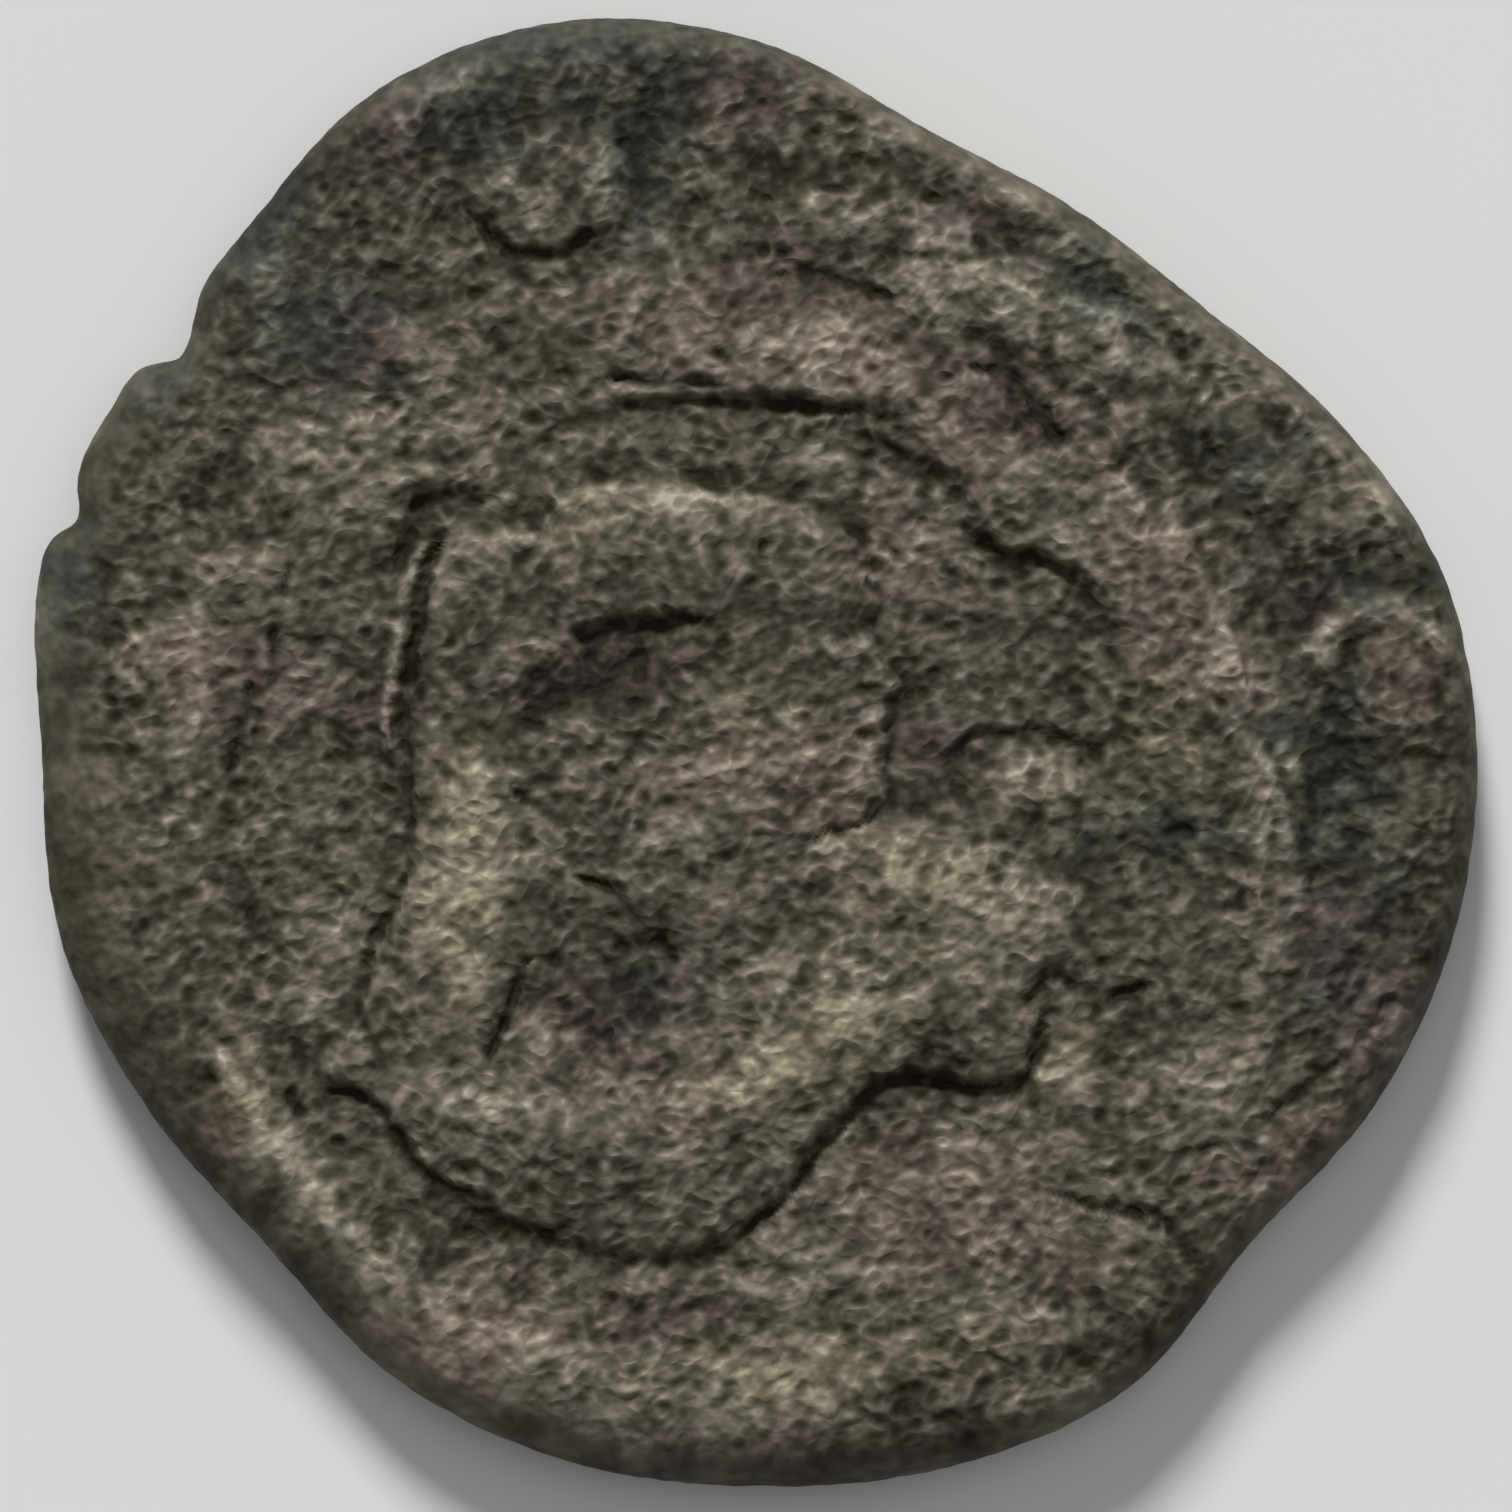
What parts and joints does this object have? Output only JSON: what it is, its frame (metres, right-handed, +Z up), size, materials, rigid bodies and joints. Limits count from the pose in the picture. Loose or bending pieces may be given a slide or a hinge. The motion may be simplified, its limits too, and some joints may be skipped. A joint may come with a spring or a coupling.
{
  "type": "silver penny",
  "caption": "Small thick hammered silver penny with an uneven rim, a worn bust in a ring on one face and a plain cross on the other.",
  "frame": {"origin": "on the surface that the coin lies on, under the middle of its bounding box", "axes": "+Z up out of the face with the bust, +Y towards the crown of the bust's head, +X the way the bust looks"},
  "size_m": [0.0124, 0.0128, 0.0011],
  "materials": {
    "worn_silver": "dull, patinated and finely pitted old silver: brown-grey, paler on the worn high spots, slate-green stains"
  },
  "bodies": {
    "root": {"penny": "worn_silver"}
  },
  "joints": []
}
